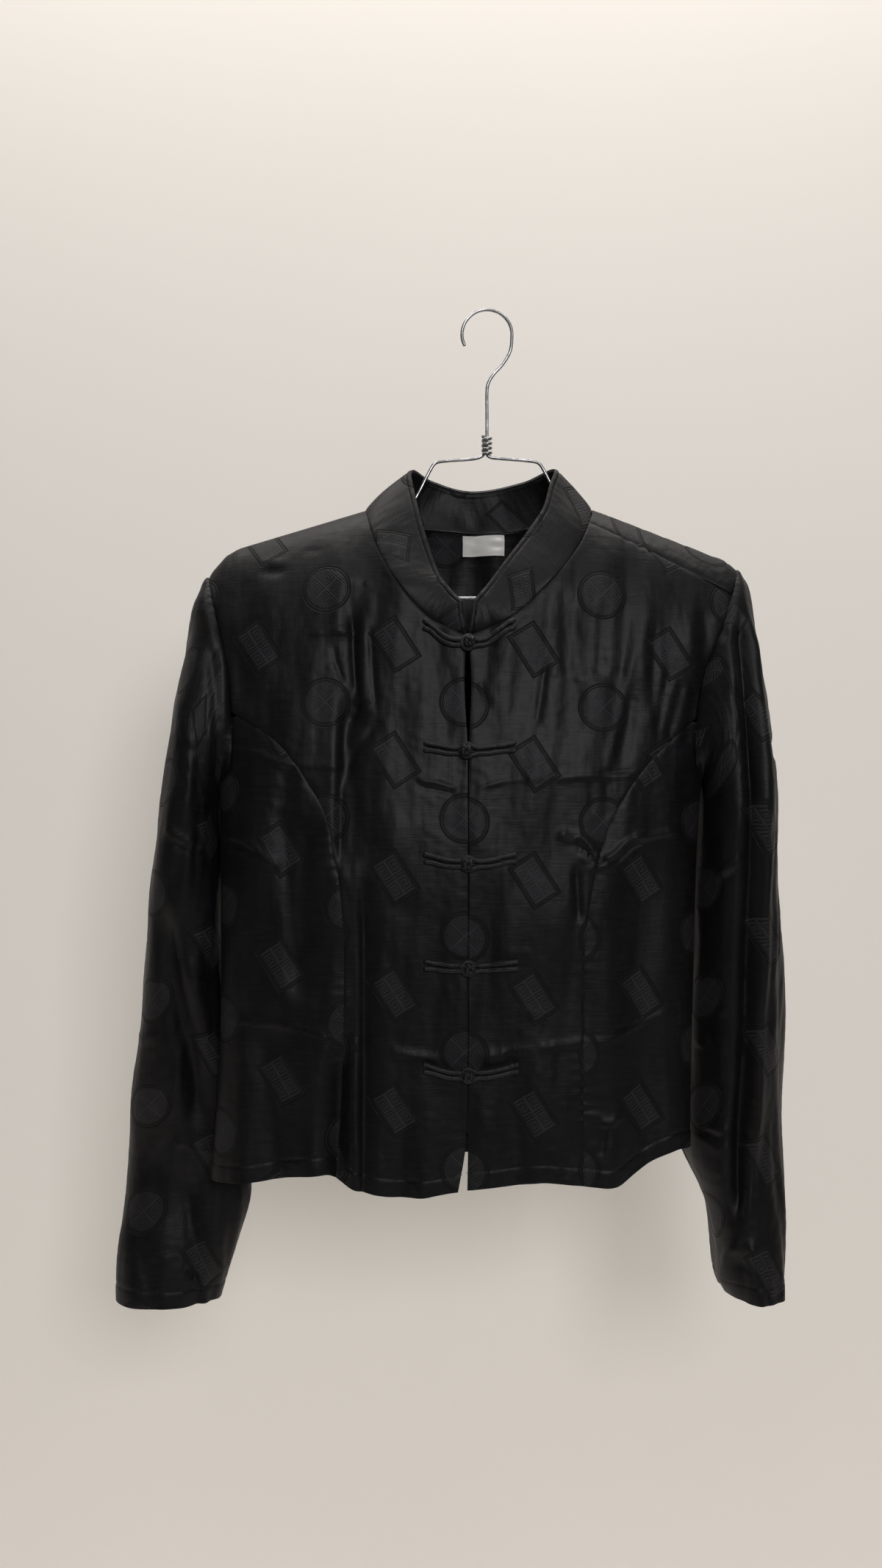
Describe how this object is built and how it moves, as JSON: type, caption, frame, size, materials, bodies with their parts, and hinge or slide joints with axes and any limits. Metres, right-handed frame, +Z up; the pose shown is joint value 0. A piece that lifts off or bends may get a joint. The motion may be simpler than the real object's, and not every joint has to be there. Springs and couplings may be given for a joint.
{
  "type": "tang jacket on a wire hanger",
  "caption": "Woman's short silk jacquard tang jacket with stand collar, princess seams, long sleeves and frog closures, hung on a bent wire hanger.",
  "frame": {"origin": "inner top of the hanger's hook, where it sits on what holds it", "axes": "+Z up, -Y towards the jacket's front, +X to the wearer's left"},
  "size_m": [0.5379, 0.1409, 0.7917],
  "materials": {
    "silk_jacquard": "black silk jacquard, soft sheen",
    "frog_cord": "black silk rouleau cord",
    "label_satin": "white satin ribbon, bare",
    "galvanised_wire": "bright galvanised steel wire"
  },
  "bodies": {
    "root": {"centre_front_right": "silk_jacquard", "side_front_right": "silk_jacquard", "centre_front_left": "silk_jacquard", "side_front_left": "silk_jacquard", "back": "silk_jacquard", "sleeve_right": "silk_jacquard", "sleeve_left": "silk_jacquard", "collar": "silk_jacquard", "frog_1_button": "frog_cord", "frog_1_knot": "frog_cord", "frog_1_loop": "frog_cord", "frog_2_button": "frog_cord", "frog_2_knot": "frog_cord", "frog_2_loop": "frog_cord", "frog_3_button": "frog_cord", "frog_3_knot": "frog_cord", "frog_3_loop": "frog_cord", "frog_4_button": "frog_cord", "frog_4_knot": "frog_cord", "frog_4_loop": "frog_cord", "frog_5_button": "frog_cord", "frog_5_knot": "frog_cord", "frog_5_loop": "frog_cord", "neck_label": "label_satin", "hanger_wire": "galvanised_wire"}
  },
  "joints": []
}
